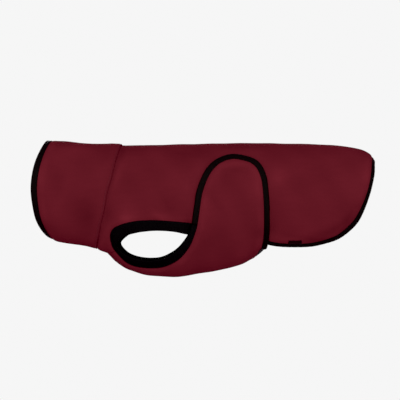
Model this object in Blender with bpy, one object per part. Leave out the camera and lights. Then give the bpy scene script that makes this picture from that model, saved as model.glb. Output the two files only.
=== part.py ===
"""Dog coat with a high neck, cut and sewn from fleece, filled out as it is when worn.

The coat is drawn on one hollow form. A place on the form has two measures: x runs from the neck
(-x) to the tail (+x), and "around" runs from 0 on the spine to 1 on the middle of the belly.
Each cloth panel is a sheet on that form, given its thickness, and each binding is a tape swept
along the panel's edge. The left half is worked out and mirrored. Sizes are in millimetres.
"""

import math
from collections import namedtuple

import bmesh
import bpy
from mathutils import Vector

MM = 0.001
MERGE = 0.01 * MM  # points nearer than this are one point

# Cloth and trim
CLOTH = 2.4  # thickness of the fleece
SEAM_GAP = 0.3  # between pieces that are sewn edge to edge
WING_TAPE = 10.0  # visible widths of the folded bindings
HEM_TAPE = 9.0
NECK_TAPE = 9.0
PROUD = 0.5  # a folded tape stands this far above and below the cloth it holds
TAPE_ROUND = 0.9  # how far the tape's rounded sides reach in

# Layers, measured out from the form
NECK_LIFT = CLOTH + 1.0  # the neck tube laps over the body
WING_LIFT = CLOTH + 2 * PROUD + 0.8  # the wings lie over the back panel and its binding
LIFT_STARTS, LIFT_ENDS = -130.0, -45.0  # x between which the belly panel rises to the wings' layer
NECK_LAP = 6.0

# Neck: the tube's two ends, from the spine to the throat
NECK_EDGE_TOP, NECK_EDGE_THROAT = -270.0, -268.0
NECK_EDGE_BULGE = 22.0  # the sides of the edge stand further forward
BULGE_POWER_TOP, BULGE_POWER_THROAT = 1.6, 1.0  # it gathers more slowly from the top
BULGE_ROUND = 0.12  # keeps the edge round where it crosses the throat
NECK_SEAM_TOP, NECK_SEAM_THROAT = -138.0, -180.5
NECK_SEAM_POWER = 0.85  # below 1 the seam slants back sooner

# Chest seam and the yoke in front of the leg openings
CHEST_SEAM_BELLY = -163.0
YOKE_SPINE = -126.0  # where the row of the mesh that leads to the leg opening leaves the spine

# Hem tab
TAB_FROM, TAB_TO = 154.0, 175.0
TAB_HEIGHT = 7.0
TAB_THICK = 1.2

# The form: one row for each section across the coat, at the inner face of the cloth
Section = namedtuple("Section", "x back belly half_width egg")
SECTIONS = [
    Section(-300, 1.5, -146, 51, 0.02),
    Section(-268, 2.7, -156, 53, 0.02),
    Section(-246, 1.8, -165.2, 54, 0.03),
    Section(-212, -1.5, -170.5, 56, 0.04),
    Section(-181, -3.1, -177.3, 59, 0.05),
    Section(-172, -3.1, -184.3, 60, 0.06),
    Section(-163, -3.1, -188.2, 61, 0.07),
    Section(-158, -3.0, -192.5, 62, 0.08),
    Section(-148, -3.0, -203, 63, 0.09),
    Section(-124, -2.8, -217.8, 66, 0.11),
    Section(-88, -2.4, -225, 68, 0.12),
    Section(-50, -1.4, -225.5, 69, 0.12),
    Section(0, 0.0, -220, 70, 0.11),
    Section(40, 1.0, -212, 70, 0.10),
    Section(71, 1.4, -203.5, 69, 0.09),
    Section(97, 1.2, -192, 68, 0.08),
    Section(140, 0.4, -190, 68, 0.06),
    Section(190, -0.6, -190, 68, 0.04),
    Section(230, -2.2, -184, 66, 0.02),
    Section(260, -5.4, -169, 62, 0.0),
    Section(282, -9.7, -150, 56, 0.0),
    Section(297, -17.8, -128, 47, 0.0),
    Section(306, -32.5, -108, 35, 0.0),
    Section(312, -45.0, -92, 23, 0.0),
]

# The line where the cloth ends and the tape begins, seen from the side. It is one line all the
# way: from the spine at the tail, along the hem, under the wing, round the leg opening, up and
# over the wing and down to the middle of the belly.
SPINE, BELLY = math.inf, -math.inf
EdgePoint = namedtuple("EdgePoint", "name x z")
EDGE = [
    EdgePoint("tail", 297.5, SPINE),
    EdgePoint("", 295, -38),
    EdgePoint("", 283.5, -80),
    EdgePoint("", 269.5, -117),
    EdgePoint("rump", 254, -140),
    EdgePoint("", 224, -160),
    EdgePoint("", 181, -169.5),
    EdgePoint("", 130, -168.5),
    EdgePoint("", 70, -157),
    EdgePoint("band_hidden_end", 10, -141),
    EdgePoint("", -17, -136),
    EdgePoint("", -68, -131.5),
    EdgePoint("leg_top", -94, -131.5),
    EdgePoint("", -120, -134.5),
    EdgePoint("leg_corner", -145, -143),
    EdgePoint("leg_front", -154.5, -157),
    EdgePoint("", -152.5, -172),
    EdgePoint("chest", -146.5, -183),
    EdgePoint("", -121, -207),
    EdgePoint("leg_bottom", -94, -213),
    EdgePoint("", -65, -211.5),
    EdgePoint("", -37, -198),
    EdgePoint("wing_foot", -17, -174),
    EdgePoint("", -9, -153),
    EdgePoint("band_top", -5.5, -138),
    EdgePoint("", -1, -109),
    EdgePoint("", 4, -82),
    EdgePoint("wing_front", 16, -52),
    EdgePoint("", 35, -34.5),
    EdgePoint("", 60, -29),
    EdgePoint("wing_rear", 89, -36),
    EdgePoint("", 103, -57),
    EdgePoint("", 107, -90),
    EdgePoint("", 108.5, -128),
    EdgePoint("wing_heel", 108, -157),
    EdgePoint("", 103.5, -172.5),
    EdgePoint("", 94, -183),
    EdgePoint("", 85.5, -191.5),
    EdgePoint("belly", 82, BELLY),
]
# How many faces lie along each run of that line
RUNS = [
    ("tail", "rump", 11),
    ("rump", "band_hidden_end", 16),
    ("band_hidden_end", "leg_top", 9),
    ("leg_top", "leg_corner", 4),
    ("leg_corner", "leg_front", 2),
    ("leg_front", "chest", 3),
    ("chest", "leg_bottom", 5),
    ("leg_bottom", "wing_foot", 7),
    ("wing_foot", "band_top", 3),
    ("band_top", "wing_front", 7),
    ("wing_front", "wing_rear", 8),
    ("wing_rear", "wing_heel", 10),
    ("wing_heel", "belly", 6),
]
# How wide the knitted band is at points along it; it is stretched narrower round the front
BAND_WIDTHS = [
    ("band_hidden_end", 18.0),
    ("leg_corner", 18.0),
    ("leg_front", 16.0),
    ("chest", 13.5),
    ("leg_bottom", 16.0),
    ("wing_foot", 16.0),
    ("band_top", WING_TAPE),
]
CHEST_ROWS = 6
YOKE_COLUMNS = 3
NECK_COLUMNS = 9
NECK_ROWS = 19

# Finishes: colour as sRGB, roughness
FLEECE = ("burgundy fleece", 0x5C1520, 0.9)
TAPE_FINISH = ("black elastic tape", 0x070708, 0.6)
KNIT = ("black knitted elastic", 0x050506, 0.8)


# ---- The form ----------------------------------------------------------------------------------


def interpolate(column, x):
    """A smooth value between the sections that never overshoots them."""
    rows = [(section.x, getattr(section, column)) for section in SECTIONS]
    slopes = [(b[1] - a[1]) / (b[0] - a[0]) for a, b in zip(rows, rows[1:])]

    def tangent(i):
        before, after = slopes[max(i - 1, 0)], slopes[min(i, len(slopes) - 1)]
        return 0.0 if before * after <= 0 else 2 * before * after / (before + after)

    i = max(k for k in range(len(slopes)) if k == 0 or rows[k][0] <= x)
    (x0, v0), (x1, v1) = rows[i], rows[i + 1]
    width = x1 - x0
    s = (x - x0) / width
    return (
        v0 * (1 + 2 * s) * (1 - s) ** 2
        + v1 * s * s * (3 - 2 * s)
        + tangent(i) * width * s * (1 - s) ** 2
        - tangent(i + 1) * width * s * s * (1 - s)
    )


def bare_form(x, around):
    """The form's own surface on the left side, in millimetres."""
    back, belly = interpolate("back", x), interpolate("belly", x)
    half_width, egg = interpolate("half_width", x), interpolate("egg", x)
    angle = math.pi * around
    y = -half_width * math.sin(angle) * (1 + egg * math.cos(angle))
    z = (back + belly) / 2 + (back - belly) / 2 * math.cos(angle)
    return Vector((x, y, z))


def slopes_at(x, around):
    """How a point moves for a step in x and for a step around."""
    dx, da = 0.1, 0.001
    along = (bare_form(x + dx, around) - bare_form(x - dx, around)) / (2 * dx)
    across = (bare_form(x, around + da) - bare_form(x, around - da)) / (2 * da)
    return along, across


def outward(x, around):
    along, across = slopes_at(x, around)
    return across.cross(along).normalized()


def on_form(place, lift=0.0):
    """The point lift millimetres outside the form at place, which is (x, around)."""
    return bare_form(*place) + outward(*place) * lift


def around_at(x, z):
    """The measure around the form of the point that lies at height z in the side view."""
    if math.isinf(z):
        return 0.0 if z > 0 else 1.0
    back, belly = interpolate("back", x), interpolate("belly", x)
    cosine = (z - (back + belly) / 2) / ((back - belly) / 2)
    return math.acos(max(-1.0, min(1.0, cosine))) / math.pi


def slide(place, step):
    """Move a place along the form by a short vector."""
    x, around = place
    goal = bare_form(x, around) + step
    for _ in range(3):
        along, across = slopes_at(x, around)
        miss = goal - bare_form(x, around)
        aa, ac, cc = along.dot(along), along.dot(across), across.dot(across)
        ma, mc = miss.dot(along), miss.dot(across)
        determinant = aa * cc - ac * ac
        x += (ma * cc - mc * ac) / determinant
        around += (mc * aa - ma * ac) / determinant
    return x, around


def mix(a, b, share):
    return a + (b - a) * share


def ease(low, high, value):
    """0 below low, 1 above high and a soft step between."""
    s = max(0.0, min(1.0, (value - low) / (high - low)))
    return s * s * (3 - 2 * s)


# ---- Lines on the form -------------------------------------------------------------------------


def evenly(places, count):
    """Split a dense line into count equal steps along the form."""
    points = [bare_form(*place) for place in places]
    reach = [0.0]
    for a, b in zip(points, points[1:]):
        reach.append(reach[-1] + (b - a).length)
    result, k = [], 0
    for n in range(count + 1):
        wanted = reach[-1] * n / count
        while k < len(reach) - 2 and reach[k + 1] < wanted:
            k += 1
        share = (wanted - reach[k]) / (reach[k + 1] - reach[k])
        result.append(tuple(mix(a, b, share) for a, b in zip(places[k], places[k + 1])))
    return result


def edge_line():
    """The whole edge line as even steps, with the index at which each named point falls."""
    knots = [(point.x, around_at(point.x, point.z)) for point in EDGE]
    mirrored_start = (knots[1][0], -knots[1][1])
    mirrored_end = (knots[-2][0], 2.0 - knots[-2][1])
    chain = [mirrored_start] + knots + [mirrored_end]
    names = {point.name: i for i, point in enumerate(EDGE) if point.name}
    dense_steps = 24

    def span(i):
        """A Catmull-Rom curve from knot i to knot i + 1."""
        before, start, end, after = chain[i : i + 4]
        for n in range(dense_steps):
            s = n / dense_steps
            yield tuple(
                0.5
                * (
                    2 * b
                    + (c - a) * s
                    + (2 * a - 5 * b + 4 * c - d) * s * s
                    + (3 * b - a - 3 * c + d) * s**3
                )
                for a, b, c, d in zip(before, start, end, after)
            )

    places, index = [knots[0]], {RUNS[0][0]: 0}
    for first, last, count in RUNS:
        dense = [p for i in range(names[first], names[last]) for p in span(i)]
        dense.append(knots[names[last]])
        places += evenly(dense, count)[1:]
        index[last] = len(places) - 1
    return places, index


def sideways(places):
    """At each place of a line, the unit vector that points off the cloth, along the form."""
    points = [bare_form(*place) for place in places]
    result = []
    for i, place in enumerate(places):
        before, after = points[max(i - 1, 0)], points[min(i + 1, len(points) - 1)]
        travel = after - before
        if place[1] in (0.0, 1.0):
            travel = Vector((0, travel.y, 0))
        result.append(outward(*place).cross(travel).normalized())
    return result


LINE, AT = edge_line()
OFF_CLOTH = sideways(LINE)
CLOTH_LINE = [slide(p, -side * SEAM_GAP / 2) for p, side in zip(LINE, OFF_CLOTH)]


def belly_lift(x):
    return WING_LIFT * ease(LIFT_STARTS, LIFT_ENDS, x)


def neck_edge(around):
    """Where the finished edge of the neck lies."""
    side = math.hypot(math.sin(math.pi * around), BULGE_ROUND) - BULGE_ROUND
    full = math.hypot(1.0, BULGE_ROUND) - BULGE_ROUND
    power = mix(BULGE_POWER_TOP, BULGE_POWER_THROAT, around)
    bulge = NECK_EDGE_BULGE * (side / full) ** power
    return mix(NECK_EDGE_TOP, NECK_EDGE_THROAT, around) - bulge


def neck_seam(around):
    """The seam slants back over the neck and runs square across the spine and the throat."""
    share = (0.5 - 0.5 * math.cos(math.pi * around)) ** NECK_SEAM_POWER
    return mix(NECK_SEAM_TOP, NECK_SEAM_THROAT, share)


def cloth_run(first, last):
    """The cloth's edge from one named point to another, in either direction."""
    a, b = AT[first], AT[last]
    return CLOTH_LINE[a : b + 1] if a <= b else CLOTH_LINE[b : a + 1][::-1]


def straight(start, end, count):
    return [
        tuple(mix(a, b, n / count) for a, b in zip(start, end)) for n in range(count + 1)
    ]


# ---- Building meshes ---------------------------------------------------------------------------


def coons(top, bottom, left, right):
    """Fill four lines that meet at their ends with rows of places."""
    columns, rows = len(top) - 1, len(left) - 1
    grid = []
    for j in range(rows + 1):
        v = j / rows
        row = []
        for i in range(columns + 1):
            u = i / columns
            row.append(
                tuple(
                    mix(top[i][k], bottom[i][k], v)
                    + mix(left[j][k], right[j][k], u)
                    - mix(mix(top[0][k], top[-1][k], u), mix(bottom[0][k], bottom[-1][k], u), v)
                    for k in range(2)
                )
            )
        grid.append(row)
    return grid


def new_object(name, mesh_maker, finish):
    material_name, colour, roughness = finish
    mesh = bpy.data.meshes.new(name)
    bm = bmesh.new()
    mesh_maker(bm)
    bmesh.ops.remove_doubles(bm, verts=bm.verts, dist=MERGE)
    bmesh.ops.recalc_face_normals(bm, faces=bm.faces)
    bm.to_mesh(mesh)
    bm.free()
    mesh.shade_smooth()
    mesh.set_sharp_from_angle(angle=math.radians(40))
    mesh.materials.append(material(material_name, colour, roughness))
    part = bpy.data.objects.new(name, mesh)
    bpy.context.collection.objects.link(part)
    return part


def material(name, colour, roughness):
    found = bpy.data.materials.get(name)
    if found:
        return found
    made = bpy.data.materials.new(name)
    made.use_nodes = True
    shader = made.node_tree.nodes["Principled BSDF"]
    channels = [(colour >> shift & 255) / 255 for shift in (16, 8, 0)]
    linear = [c / 12.92 if c <= 0.04045 else ((c + 0.055) / 1.055) ** 2.4 for c in channels]
    shader.inputs["Base Color"].default_value = (*linear, 1.0)
    shader.inputs["Roughness"].default_value = roughness
    shader.inputs["Metallic"].default_value = 0.0
    return made


def mirror(part):
    modifier = part.modifiers.new("other half", "MIRROR")
    modifier.use_axis = (False, True, False)
    modifier.merge_threshold = MERGE


def panel(name, grids, lift_at, finish=FLEECE, thick=CLOTH, mirrored=True):
    """A wall of cloth on the form, from one or more grids of places that share their edges."""

    def make(bm):
        outer, inner = {}, {}

        def corner(layer, place, height):
            key = (round(place[0], 2), round(place[1], 4))
            if key not in layer:
                layer[key] = bm.verts.new(on_form(place, lift_at(place[0]) + height) * MM)
            return layer[key]

        for grid in grids:
            for upper, lower in zip(grid, grid[1:]):
                for i in range(len(upper) - 1):
                    cell = (upper[i], upper[i + 1], lower[i + 1], lower[i])
                    bm.faces.new([corner(outer, place, thick) for place in cell])
                    bm.faces.new([corner(inner, place, 0.0) for place in reversed(cell)])
        below = {outer[key]: inner[key] for key in outer}
        for edge in [e for e in bm.edges if e.is_boundary and e.verts[0] in below]:
            a, b = edge.verts
            if not (on_middle(a) and on_middle(b)):
                bm.faces.new((b, a, below[a], below[b]))

    part = new_object(name, make, finish)
    if mirrored:
        mirror(part)
    return part


def on_middle(vertex):
    return abs(vertex.co.y) < MERGE


def tape_profile(width):
    """A folded tape across its width: (distance from the cloth's edge, height off the form)."""
    low, high, middle = -PROUD, CLOTH + PROUD, CLOTH / 2
    near, far = SEAM_GAP / 2, width
    return [
        (near, middle),
        (near + TAPE_ROUND, low),
        (far - TAPE_ROUND, low),
        (far, middle),
        (far - TAPE_ROUND, high),
        (near + TAPE_ROUND, high),
    ]


def band_profile(width):
    """The knitted band is wide, so it also bends with the form along its middle."""
    points = tape_profile(width)
    low, high = points[1], points[4]
    middle = (SEAM_GAP / 2 + width) / 2
    return points[:2] + [(middle, low[1])] + points[2:5] + [(middle, high[1])] + points[5:]


def drawn_back(end, neighbour):
    """An end of a tape, moved back so that a gap is left to the tape that follows."""
    if end[1] in (0.0, 1.0):
        return end
    length = (bare_form(*neighbour) - bare_form(*end)).length
    return tuple(mix(a, b, SEAM_GAP / 2 / length) for a, b in zip(end, neighbour))


def strip(name, places, off_cloth, lifts, widths, profile, finish, side="both"):
    """Sweep a tape along a line of places. side is both, left or right."""
    ends_on_middle = [places[0][1] in (0.0, 1.0), places[-1][1] in (0.0, 1.0)]
    flip = -1.0 if side == "right" else 1.0
    first, last = drawn_back(places[0], places[1]), drawn_back(places[-1], places[-2])
    places = [first, *places[1:-1], last]

    def make(bm):
        rings = []
        for place, direction, lift, width in zip(places, off_cloth, lifts, widths):
            ring = []
            for across, height in profile(width):
                point = on_form(slide(place, direction * across), lift + height)
                y = 0.0 if place[1] in (0.0, 1.0) else point.y * flip
                ring.append(bm.verts.new(Vector((point.x, y, point.z)) * MM))
            rings.append(ring)
        for a, b in zip(rings, rings[1:]):
            for k in range(len(a)):
                n = (k + 1) % len(a)
                bm.faces.new((a[k], a[n], b[n], b[k]))
        for ring, on_middle in zip((rings[0], rings[-1]), ends_on_middle):
            if not (side == "both" and on_middle):
                bm.faces.new(ring)

    part = new_object(name, make, finish)
    if side == "both":
        mirror(part)
    return part


# ---- The pieces --------------------------------------------------------------------------------


def chest_seam():
    """From the leg opening to the middle of the belly, which it crosses squarely."""
    x, around = LINE[AT["chest"]]
    return [
        (mix(x, CHEST_SEAM_BELLY, math.sin(math.pi / 2 * share)), mix(around, 1.0, share))
        for share in (n / CHEST_ROWS for n in range(CHEST_ROWS + 1))
    ]


def make_neck():
    rows = [1 - n / NECK_ROWS for n in range(NECK_ROWS + 1)]  # up from the throat
    front = [(neck_edge(around) + NECK_TAPE, around) for around in rows]
    off_cloth = sideways(front)
    cloth_front = [slide(p, -side * SEAM_GAP / 2) for p, side in zip(front, off_cloth)]
    grid = [
        straight(place, (neck_seam(around), around), NECK_COLUMNS)
        for place, around in zip(cloth_front, rows)
    ]
    panel("neck_tube", [grid], lambda x: NECK_LIFT)
    count = len(rows)
    strip(
        "neck_binding",
        front,
        off_cloth,
        [NECK_LIFT] * count,
        [NECK_TAPE] * count,
        tape_profile,
        TAPE_FINISH,
    )


def make_back_panel():
    """The yoke is the ring round the chest, and the back runs from there to the tail."""
    rows = AT["rump"] - AT["tail"]
    to_leg = straight((YOKE_SPINE, 0.0), cloth_run("leg_front", "leg_front")[0], rows)
    seam = [(x - SEAM_GAP / 2, around) for x, around in chest_seam()]
    leg_to_chest = cloth_run("leg_front", "chest")[:-1]
    yoke_rear = to_leg + leg_to_chest[1:] + seam
    yoke = [
        straight((neck_seam(around) - NECK_LAP, around), (x, around), YOKE_COLUMNS)
        for x, around in yoke_rear
    ]
    lower = cloth_run("leg_front", "rump")
    spine = straight(to_leg[0], CLOTH_LINE[AT["tail"]], len(lower) - 1)
    back = coons(spine, lower, to_leg, cloth_run("tail", "rump"))
    panel("back_panel", [yoke, back], lambda x: 0.0)


def make_belly_panel():
    """Under the chest and belly, with a wing up each side."""
    seam = [(x + SEAM_GAP / 2, around) for x, around in chest_seam()]
    foot = cloth_run("chest", "wing_foot")
    foot[0] = seam[0]
    columns = AT["wing_rear"] - AT["wing_front"]
    wing_base = straight(foot[-1], CLOTH_LINE[AT["wing_heel"]], columns)
    top = foot + wing_base[1:]
    middle = straight(seam[-1], CLOTH_LINE[AT["belly"]], len(top) - 1)
    chest = coons(top, middle, seam, cloth_run("wing_heel", "belly"))
    wing = coons(
        cloth_run("wing_front", "wing_rear"),
        wing_base,
        cloth_run("wing_front", "wing_foot"),
        cloth_run("wing_rear", "wing_heel"),
    )
    panel("belly_panel", [chest, wing], belly_lift)


def edge_strip(name, first, last, lift_at, width_at, profile, finish, side="both"):
    span = slice(AT[first], AT[last] + 1)
    indices = range(span.start, span.stop)
    strip(
        name,
        LINE[span],
        OFF_CLOTH[span],
        [lift_at(i) for i in indices],
        [width_at(i) for i in indices],
        profile,
        finish,
        side,
    )


def make_bindings():
    """The tape of hem and wings, and the knitted band that joins them round each leg opening."""

    def belly_side_lift(i):
        return 0.0 if i <= AT["leg_front"] else belly_lift(LINE[i][0])

    def band_width(i):
        for (first, wide), (last, narrow) in zip(BAND_WIDTHS, BAND_WIDTHS[1:]):
            if i <= AT[last]:
                return mix(wide, narrow, ease(AT[first], AT[last], i))
        return WING_TAPE

    edge_strip(
        "hem_binding", "tail", "band_hidden_end", lambda i: 0.0, lambda i: HEM_TAPE,
        tape_profile, TAPE_FINISH,
    )
    edge_strip(
        "belly_binding", "band_top", "belly", belly_side_lift, lambda i: WING_TAPE,
        tape_profile, TAPE_FINISH,
    )
    for side in ("left", "right"):
        edge_strip(
            f"armhole_band_{side}", "band_hidden_end", "band_top", belly_side_lift, band_width,
            band_profile, KNIT, side,
        )


def make_tab():
    """A small plain tab on the left flank, just above the hem's tape."""
    hem = cloth_run("tail", "band_hidden_end")
    rows = []
    for x in (TAB_FROM, mix(TAB_FROM, TAB_TO, 0.5), TAB_TO):
        near = min(range(len(hem) - 1), key=lambda i: abs(hem[i][0] - x))
        a, b = hem[near], hem[near + 1]
        around = mix(a[1], b[1], (x - a[0]) / (b[0] - a[0]))
        up = (bare_form(x, around - 0.01) - bare_form(x, around)).normalized()
        rows.append([slide((x, around), up * (SEAM_GAP + TAB_HEIGHT * n / 2)) for n in range(3)])
    panel("hem_tab", [rows], lambda x: CLOTH + SEAM_GAP, TAPE_FINISH, TAB_THICK, mirrored=False)


def main():
    for existing in list(bpy.data.objects):
        bpy.data.objects.remove(existing, do_unlink=True)
    make_neck()
    make_back_panel()
    make_belly_panel()
    make_bindings()
    make_tab()


main()
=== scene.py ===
# %% [markdown]
# # A dog coat with a high neck
#
# The coat is cut from burgundy fleece and sewn. Its edges are bound with black elastic tape, and
# wide knitted bands go round the two leg openings. It is shown filled out, as it sits on a
# standing dog, with nobody in it, so every piece of cloth here is a thin shell round a hollow.
#
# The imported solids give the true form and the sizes. The cells below dress them one after
# another: they lay the cloth on the same form, let it swell and dip where it is sewn, fold the
# tapes round its edges, and put in the threads. Sizes are in millimetres until a mesh is made.

import math
from collections import namedtuple

import bpy
import numpy as np
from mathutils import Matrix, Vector


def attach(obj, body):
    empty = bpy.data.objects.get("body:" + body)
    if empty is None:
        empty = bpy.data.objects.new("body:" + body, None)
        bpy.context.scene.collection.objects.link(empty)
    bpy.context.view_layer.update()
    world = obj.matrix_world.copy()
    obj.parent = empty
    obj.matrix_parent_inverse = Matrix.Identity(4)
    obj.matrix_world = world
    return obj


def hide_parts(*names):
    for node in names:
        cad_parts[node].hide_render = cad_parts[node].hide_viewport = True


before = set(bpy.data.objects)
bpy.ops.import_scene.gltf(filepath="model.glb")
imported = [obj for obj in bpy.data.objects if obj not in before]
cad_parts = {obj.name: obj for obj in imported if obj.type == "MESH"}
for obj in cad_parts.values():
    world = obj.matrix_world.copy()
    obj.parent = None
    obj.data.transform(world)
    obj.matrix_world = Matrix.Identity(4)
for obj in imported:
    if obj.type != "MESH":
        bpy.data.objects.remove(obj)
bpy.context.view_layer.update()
print("solids to dress:", ", ".join(sorted(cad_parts)))

# %% [markdown]
# ## The form
#
# A pattern cutter would drape this coat on a stand. Our stand is a table of sections across the
# body, each with its back line, belly line and width. A place on it has two measures: x runs
# from the neck to the tail, and "around" runs from 0 on the spine to 1 on the middle of the
# belly. On the left side around is positive, and on the right side it is negative. All the
# functions take whole arrays of places at once, because a sheet of cloth has thousands.

# %% Named sizes of cloth and trim
MM = 0.001
CLOTH = 2.4  # thickness of the fleece
SEAM_GAP = 0.3  # between pieces that are sewn edge to edge
WING_TAPE, HEM_TAPE, NECK_TAPE = 10.0, 8.8, 9.2  # widths of the folded tape that show
PROUD = 0.5  # the tape stands this far above and below the cloth
NECK_LIFT = CLOTH + 1.0  # the neck laps over the body
WING_LIFT = CLOTH + 2 * PROUD + 0.8  # the wings lie over the back and its tape
LIFT_STARTS, LIFT_ENDS = -130.0, -45.0  # x between which the belly panel rises to the wings
NECK_LAP = 6.0

# %% The table of sections
# egg is by how large a share a section is wider near the back and narrower near the belly
Section = namedtuple("Section", "x back belly half_width egg")
SECTIONS = [Section(*row) for row in [
    (-300, 1.5, -146, 51, 0.02),
    (-268, 1.8, -156, 53, 0.02),
    (-246, 1.8, -165.7, 54, 0.03),
    (-212, -1.5, -171.2, 56, 0.04),
    (-181, -3.0, -178.2, 59, 0.05),
    (-172, -3.1, -184.3, 60, 0.06),
    (-163, -3.1, -188.2, 61, 0.07),
    (-158, -2.7, -192.5, 62, 0.08),
    (-148, -2.6, -203, 63, 0.09),
    (-124, -2.4, -218.6, 66, 0.11),
    (-88, -1.9, -225.4, 68, 0.12),
    (-50, -1.3, -225.8, 69, 0.12),
    (0, 0.0, -220, 70, 0.11),
    (40, 1.0, -212, 70, 0.10),
    (71, 1.4, -203.5, 69, 0.09),
    (97, 1.6, -192, 68, 0.08),
    (140, 1.1, -190, 68, 0.06),
    (190, -0.2, -190, 68, 0.04),
    (230, -2.2, -184, 66, 0.02),
    (260, -5.4, -169, 62, 0.0),
    (282, -9.7, -150, 56, 0.0),
    (297, -17.8, -128, 47, 0.0),
    (306, -32.5, -108, 35, 0.0),
    (312, -45.0, -92, 23, 0.0),
]]


def smooth_column(name):
    """A function of x that passes through one column and never overshoots it."""
    xs = np.array([section.x for section in SECTIONS], float)
    values = np.array([getattr(section, name) for section in SECTIONS], float)
    slopes = np.diff(values) / np.diff(xs)
    before, after = np.r_[slopes[0], slopes], np.r_[slopes, slopes[-1]]
    same_way = before * after > 0
    tangents = np.where(same_way, 2 * before * after / np.where(same_way, before + after, 1), 0)

    def value_at(x):
        i = np.clip(np.searchsorted(xs, x, side="right") - 1, 0, len(slopes) - 1)
        width = xs[i + 1] - xs[i]
        s = (x - xs[i]) / width
        return (
            values[i] * (1 + 2 * s) * (1 - s) ** 2
            + values[i + 1] * s * s * (3 - 2 * s)
            + tangents[i] * width * s * (1 - s) ** 2
            - tangents[i + 1] * width * s * s * (1 - s)
        )

    return value_at


back_at, belly_at, half_width_at, egg_at = (
    smooth_column(name) for name in ("back", "belly", "half_width", "egg")
)

# %% Points and normals of the form


def form(places):
    """The inner face of the cloth at places, an array whose last axis is (x, around)."""
    x, angle = places[..., 0], np.pi * places[..., 1]
    back, belly = back_at(x), belly_at(x)
    y = -half_width_at(x) * np.sin(angle) * (1 + egg_at(x) * np.cos(angle))
    z = (back + belly) / 2 + (back - belly) / 2 * np.cos(angle)
    return np.stack([x, y, z], -1)


def slopes_at(places):
    """How a point moves for a step in x and for a step around."""
    slopes = []
    for step in (np.array([0.1, 0.0]), np.array([0.0, 0.001])):
        slopes.append((form(places + step) - form(places - step)) / (2 * step.sum()))
    return slopes


def unit(vectors):
    return vectors / np.linalg.norm(vectors, axis=-1, keepdims=True)


def outward(places):
    along, across = slopes_at(places)
    return unit(np.cross(across, along))


def dot(a, b):
    return (a * b).sum(-1)


# %% Moving about on the form


def slide(places, steps):
    """Move places along the form by short vectors."""
    goal = form(places) + steps
    for _ in range(4):
        along, across = slopes_at(places)
        miss = goal - form(places)
        aa, ac, cc = dot(along, along), dot(along, across), dot(across, across)
        ma, mc = dot(miss, along), dot(miss, across)
        move = np.stack([ma * cc - mc * ac, mc * aa - ma * ac], -1)
        places = places + move / (aa * cc - ac * ac)[..., None]
    return places


def ease(low, high, value):
    """0 below low, 1 above high and a soft step between."""
    s = np.clip((value - low) / (high - low), 0.0, 1.0)
    return s * s * (3 - 2 * s)


def bell(distance, width):
    """1 where the distance is nothing, fading softly to nothing beyond the width."""
    return np.exp(-((distance / width) ** 2))


def around_at(x, z):
    """The measure around the form at height z in the side view."""
    if math.isinf(z):
        return 0.0 if z > 0 else 1.0
    back, belly = float(back_at(x)), float(belly_at(x))
    return math.acos((z - (back + belly) / 2) / ((back - belly) / 2)) / math.pi


# %% The girth at each section
girth_places = np.stack(
    np.meshgrid(np.linspace(-300, 312, 62), np.linspace(0, 1, 61), indexing="ij"), -1
)
girth_steps = np.linalg.norm(np.diff(form(girth_places), axis=1), axis=-1)
half_girths = girth_steps.sum(1)


def half_girth_at(x):
    return np.interp(x, girth_places[:, 0, 0], half_girths)


for x in (-268, -100, 0, 200):
    print(f"girth at x = {x}: {2 * half_girth_at(x):.0f} mm")

# %% [markdown]
# ## The edge line
#
# Cloth ends and tape begins on one line. It starts on the spine at the tail, follows the hem,
# goes on under the wing, round the leg opening, up and over the wing, and ends on the middle of
# the belly. One smooth curve through a short table of named points gives every bound edge behind
# the neck, so panel and tape can't drift apart.

# %% The table of edge points
SPINE, BELLY = math.inf, -math.inf
EdgePoint = namedtuple("EdgePoint", "name x z")
EDGE = [EdgePoint(*row) for row in [
    ("tail", 301, SPINE),
    ("", 295.2, -38),
    ("tail_side", 286.0, -80),
    ("", 271.5, -116.5),
    ("rump", 255, -140.5),
    ("", 224, -161.3),
    ("flank", 181, -170.8),
    ("", 130, -168.5),
    ("", 70, -157),
    ("band_hidden_end", 10, -141),
    ("leg_rear", -17, -136),
    ("leg_slope", -42.5, -133.1),
    ("leg_arch", -68, -131.1),
    ("leg_top", -94, -131.1),
    ("leg_crown", -111, -132.3),
    ("", -127.5, -135.4),
    ("leg_corner", -142.4, -140.9),
    ("", -150.8, -147.0),
    ("leg_front", -154.8, -157),
    ("", -153, -171),
    ("chest", -147, -183.6),
    ("leg_low", -121.5, -207.7),
    ("leg_bottom", -94, -211.8),
    ("elbow", -66.5, -209.4),
    ("wing_root", -38.9, -196.4),
    ("wing_foot", -18.9, -173.7),
    ("wing_rise", -10.0, -153),
    ("band_top", -5.5, -138),
    ("", -1, -109),
    ("", 4, -82),
    ("wing_front", 16.8, -52.8),
    ("", 35.6, -35.4),
    ("", 59.5, -29.5),
    ("wing_rear", 88.4, -37.2),
    ("", 102.3, -58.5),
    ("wing_side", 106.9, -90),
    ("", 108.5, -128),
    ("wing_heel", 108.2, -157),
    ("", 106.2, -170.5),
    ("", 104.2, -179),
    ("", 101.5, -186),
    ("belly", 97, BELLY),
]]


# %% A smooth curve through them, and runs along it
DENSE = 24  # points of the curve for each row of its table


def through(knots, start, end, steps):
    """A Catmull-Rom curve through knots; start and end lie beyond its two ends."""
    chain = np.vstack([start, knots, end])
    s = (np.arange(steps) / steps)[:, None]
    spans = [
        0.5 * (2 * b + (c - a) * s + (2 * a - 5 * b + 4 * c - d) * s**2
               + (3 * b - a - 3 * c + d) * s**3)
        for a, b, c, d in zip(chain, chain[1:], chain[2:], chain[3:])
    ]
    return np.vstack(spans + [knots[-1:]])


def lengths_along(points):
    return np.r_[0, np.cumsum(np.linalg.norm(np.diff(points, axis=0), axis=1))]


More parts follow.
